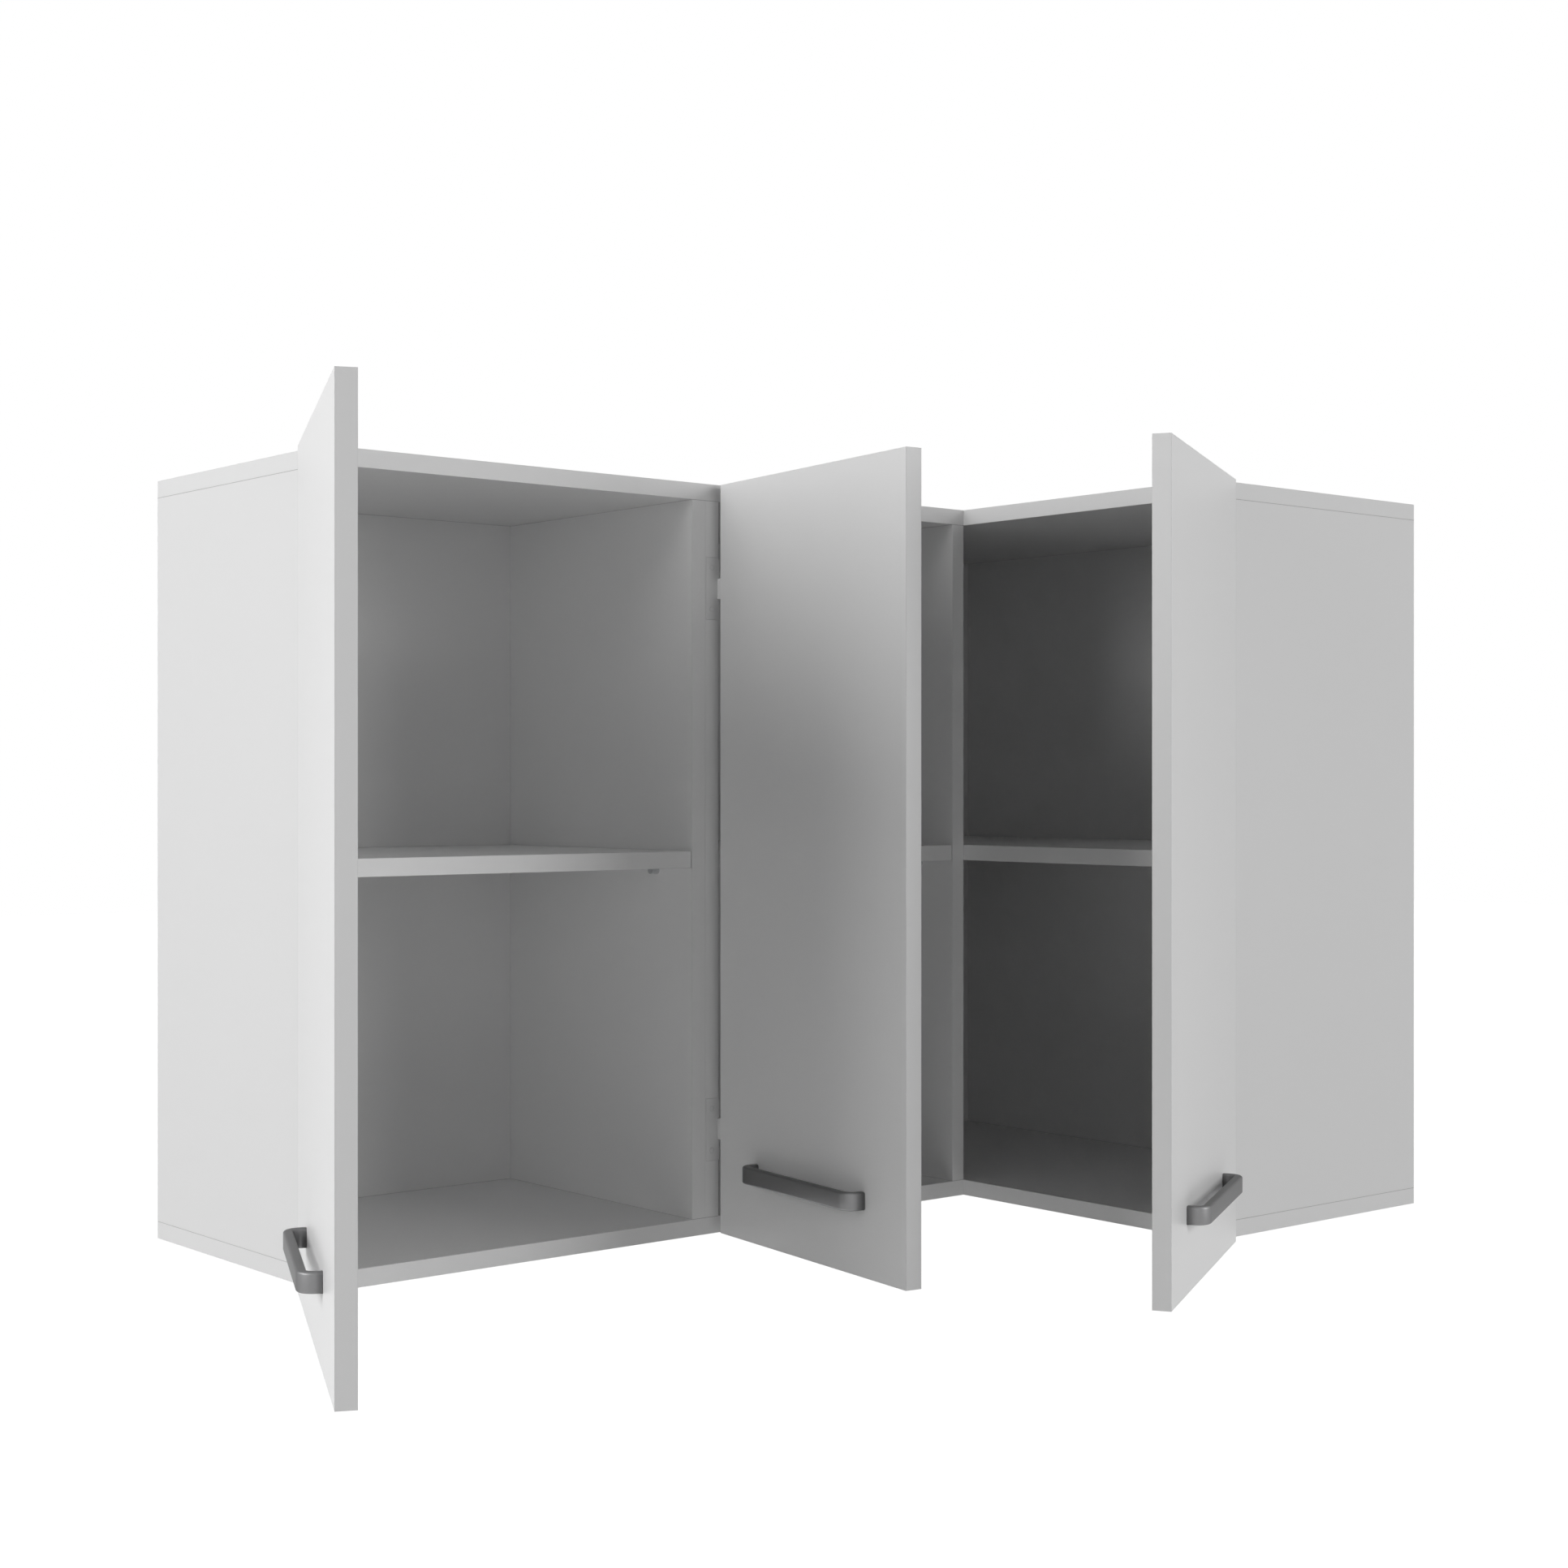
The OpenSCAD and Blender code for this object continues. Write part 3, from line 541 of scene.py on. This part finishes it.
feed(room, white_rays(room), room_mix.inputs["Fac"])
feed(room, room_light.outputs["Background"], room_mix.inputs[1])
feed(room, room_seen.outputs["Background"], room_mix.inputs[2])
feed(room, room_mix.outputs["Shader"], room.nodes["World Output"].inputs["Surface"])

LAMP_AIM = Vector((-0.55, -0.35, 0.36))
LAMP_AWAY = 4.0
LAMP_SIZE = 2.0


def soft_box(name, around, above, power):
    """Square lamp turned to the cabinet; its place is given in degrees around from +X and above level."""
    lamp = bpy.data.lights.new(name, "AREA")
    lamp.shape = "SQUARE"
    lamp.size = LAMP_SIZE
    lamp.energy = power
    turn = math.radians(around)
    rise = math.radians(above)
    outward = Vector((math.cos(rise) * math.cos(turn), math.cos(rise) * math.sin(turn), math.sin(rise)))
    holder = bpy.data.objects.new(name, lamp)
    holder.location = LAMP_AIM + outward * LAMP_AWAY
    holder.rotation_mode = "QUATERNION"
    holder.rotation_quaternion = (-outward).to_track_quat("-Z", "Y")
    bpy.context.scene.collection.objects.link(holder)


soft_box("lamp_left", around=184.0, above=15.0, power=56.0)
soft_box("lamp_left_rear", around=160.0, above=20.0, power=39.0)
soft_box("lamp_right", around=292.0, above=12.0, power=58.0)
soft_box("lamp_front", around=235.0, above=5.0, power=8.0)
soft_box("lamp_wall_side", around=45.0, above=20.0, power=40.0)

# Camera
# Level, at a little over half the cabinet's height, with a 55 mm lens, as solved from the photograph's
# edges.
CAMERA_PLACE = (-2.0851, -2.1284, 0.4321)
CAMERA_LEVEL = math.radians(90.0)
CAMERA_TURN = math.radians(-40.02)
LENS = 54.99
SENSOR_WIDTH = 36.0
camera_data = bpy.data.cameras.new("camera")
camera_data.lens = LENS
camera_data.sensor_width = SENSOR_WIDTH
camera = bpy.data.objects.new("camera", camera_data)
camera.location = CAMERA_PLACE
camera.rotation_euler = (CAMERA_LEVEL, 0.0, CAMERA_TURN)
bpy.context.scene.collection.objects.link(camera)
bpy.context.scene.camera = camera
bpy.context.scene.view_settings.view_transform = "Standard"
